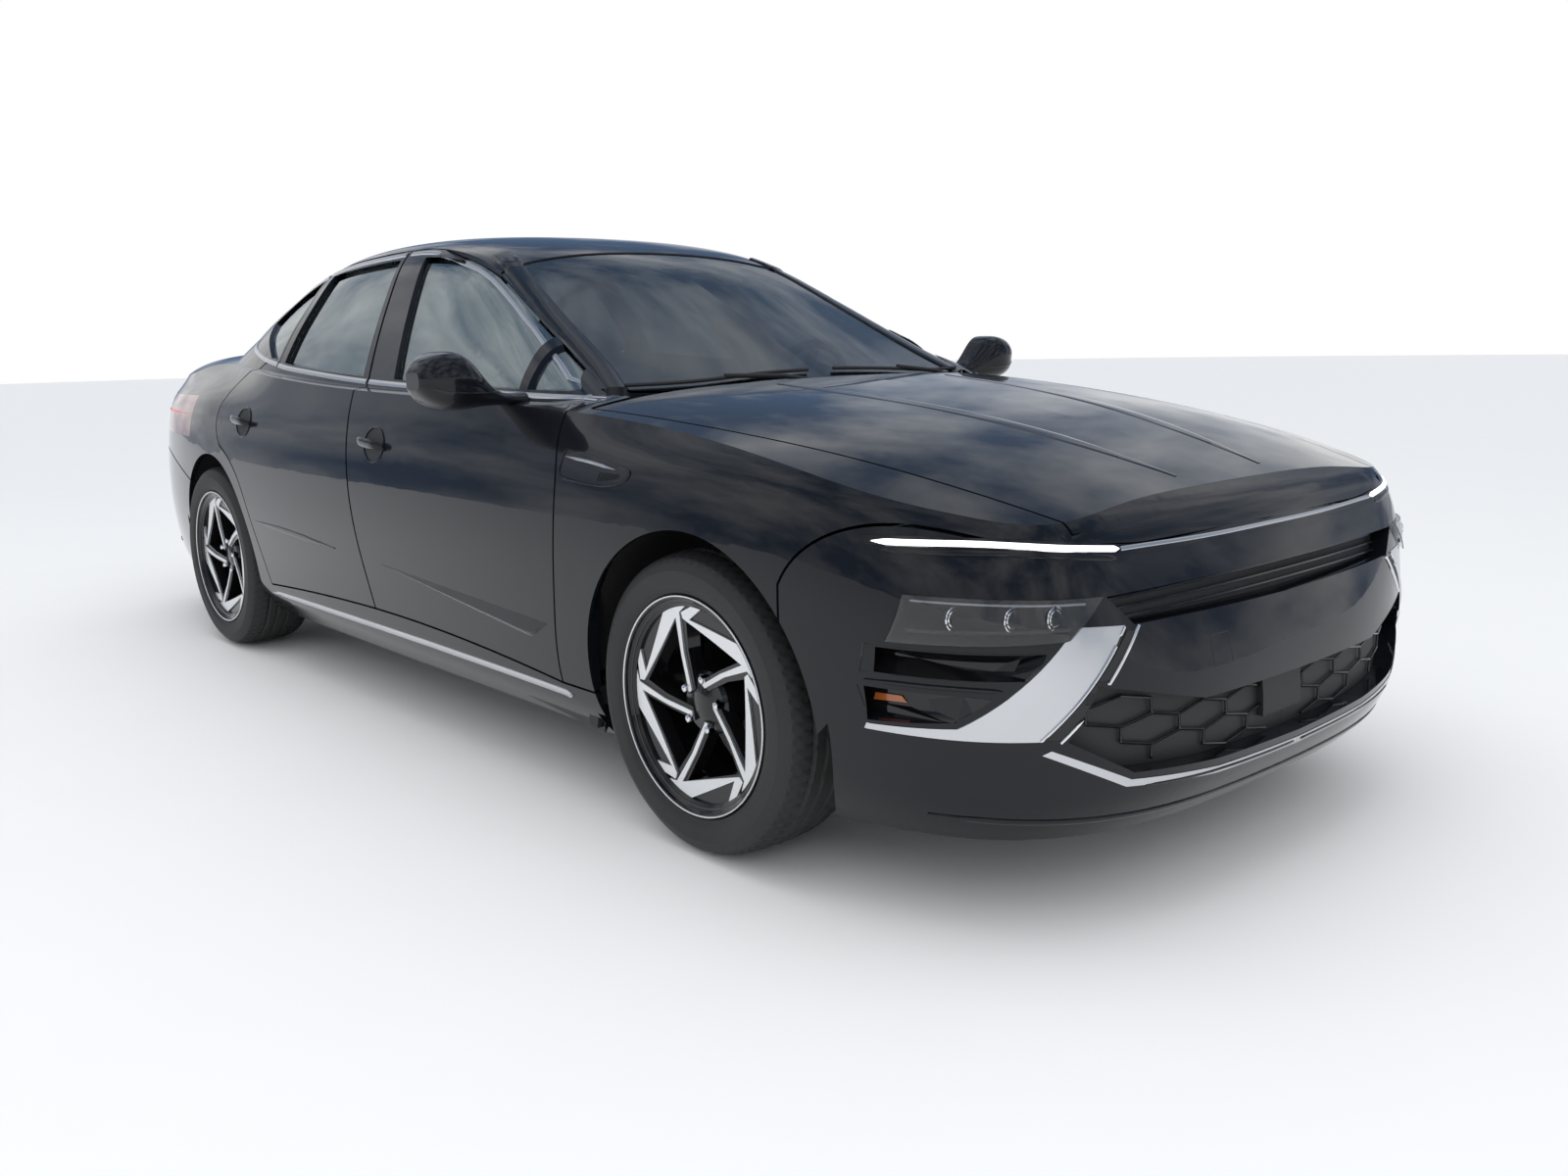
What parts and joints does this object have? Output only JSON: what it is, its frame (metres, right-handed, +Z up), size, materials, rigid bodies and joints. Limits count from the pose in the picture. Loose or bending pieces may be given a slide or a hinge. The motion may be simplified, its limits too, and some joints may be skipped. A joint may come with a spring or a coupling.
{
  "type": "four-door sedan car",
  "caption": "Four-door sedan car with opening doors, bonnet and boot lid, steered front wheels and turning wheels.",
  "frame": {"origin": "on the ground, at mid length and mid width", "axes": "+X forward, +Y to the car's left, +Z up"},
  "size_m": [4.8955, 2.192, 1.444],
  "materials": {
    "paint": "glossy black clear-coated paint",
    "glazing": "tinted clear glass",
    "tyre": "matt moulded rubber",
    "alloy": "diamond-cut aluminium with gloss black pockets",
    "lamp": "clear lens",
    "tail_lamp": "red lens",
    "bright_trim": "satin silver trim",
    "black_trim": "gloss black moulding",
    "dark_plastic": "grained dark plastic",
    "upholstery": "dark upholstery",
    "engine": "cast metal block",
    "chassis": "dark coated steel",
    "exhaust": "dull steel tube",
    "floor": "dark underbody coating"
  },
  "bodies": {
    "shell": {"body_side_left": "paint", "body_side_right": "paint", "roof": "paint", "floor": "floor", "arch_liners": "dark_plastic", "front_wings": "paint", "front_bumper": "paint", "rear_bumper": "paint", "windscreen": "glazing", "back_window": "glazing", "quarter_windows": "glazing", "grille": "black_trim", "front_lamps": "lamp", "front_trim": "bright_trim", "tail_lamps": "tail_lamp", "dashboard": "dark_plastic", "bulkheads": "dark_plastic", "front_seats": "upholstery", "rear_seat": "upholstery", "engine": "engine", "front_subframe": "chassis", "rear_axle": "chassis", "scuttle": "black_trim", "exhaust": "exhaust"},
    "bonnet": {"bonnet": "paint"},
    "boot_lid": {"boot_lid": "paint", "lid_lamp": "tail_lamp"},
    "steering_wheel": {"steering_wheel": "dark_plastic"},
    "front_door_left": {"front_door_left": "paint", "front_window_left": "glazing", "mirror_left": "paint"},
    "rear_door_left": {"rear_door_left": "paint", "rear_window_left": "glazing"},
    "knuckle_left": {"knuckle_left": "chassis"},
    "front_wheel_left": {"front_wheel_left": "alloy", "front_tyre_left": "tyre"},
    "rear_wheel_left": {"rear_wheel_left": "alloy", "rear_tyre_left": "tyre"},
    "front_door_right": {"front_door_right": "paint", "front_window_right": "glazing", "mirror_right": "paint"},
    "rear_door_right": {"rear_door_right": "paint", "rear_window_right": "glazing"},
    "knuckle_right": {"knuckle_right": "chassis"},
    "front_wheel_right": {"front_wheel_right": "alloy", "front_tyre_right": "tyre"},
    "rear_wheel_right": {"rear_wheel_right": "alloy", "rear_tyre_right": "tyre"}
  },
  "joints": [
    {"name": "front_door_hinge_left", "type": "hinge", "parent": "shell", "child": "front_door_left", "pos_m": [1.119, 0.903, 0.6], "axis": [0, 0, -1], "range_deg": [0, 65]},
    {"name": "rear_door_hinge_left", "type": "hinge", "parent": "shell", "child": "rear_door_left", "pos_m": [0.05, 0.903, 0.51], "axis": [0, 0, -1], "range_deg": [0, 65]},
    {"name": "steer_left", "type": "hinge", "parent": "shell", "child": "knuckle_left", "pos_m": [1.535, 0.716, 0.334], "axis": [0, 0, 1], "range_deg": [-32, 32]},
    {"name": "front_wheel_spin_left", "type": "hinge", "parent": "knuckle_left", "child": "front_wheel_left", "pos_m": [1.535, 0.795, 0.334], "axis": [0, 1, 0], "continuous": true},
    {"name": "rear_wheel_spin_left", "type": "hinge", "parent": "shell", "child": "rear_wheel_left", "pos_m": [-1.305, 0.795, 0.334], "axis": [0, 1, 0], "continuous": true},
    {"name": "front_door_hinge_right", "type": "hinge", "parent": "shell", "child": "front_door_right", "pos_m": [1.119, -0.903, 0.6], "axis": [0, 0, 1], "range_deg": [0, 65]},
    {"name": "rear_door_hinge_right", "type": "hinge", "parent": "shell", "child": "rear_door_right", "pos_m": [0.05, -0.903, 0.51], "axis": [0, 0, 1], "range_deg": [0, 65]},
    {"name": "steer_right", "type": "hinge", "parent": "shell", "child": "knuckle_right", "pos_m": [1.535, -0.716, 0.334], "axis": [0, 0, 1], "range_deg": [-32, 32]},
    {"name": "front_wheel_spin_right", "type": "hinge", "parent": "knuckle_right", "child": "front_wheel_right", "pos_m": [1.535, -0.795, 0.334], "axis": [0, 1, 0], "continuous": true},
    {"name": "rear_wheel_spin_right", "type": "hinge", "parent": "shell", "child": "rear_wheel_right", "pos_m": [-1.305, -0.795, 0.334], "axis": [0, 1, 0], "continuous": true},
    {"name": "bonnet_hinge", "type": "hinge", "parent": "shell", "child": "bonnet", "pos_m": [1.095, 0, 0.933], "axis": [0, -1, 0], "range_deg": [0, 50]},
    {"name": "boot_lid_hinge", "type": "hinge", "parent": "shell", "child": "boot_lid", "pos_m": [-1.7, 0, 1.075], "axis": [0, 1, 0], "range_deg": [0, 65]},
    {"name": "steering_column", "type": "hinge", "parent": "shell", "child": "steering_wheel", "pos_m": [0.5, 0.38, 0.905], "axis": [-0.9136, 0, 0.4067], "range_deg": [-450, 450]}
  ],
  "couplings": [
    {"joint": "steer_right", "follows": "steer_left", "ratio": 1},
    {"joint": "steering_column", "follows": "steer_left", "ratio": 14}
  ]
}
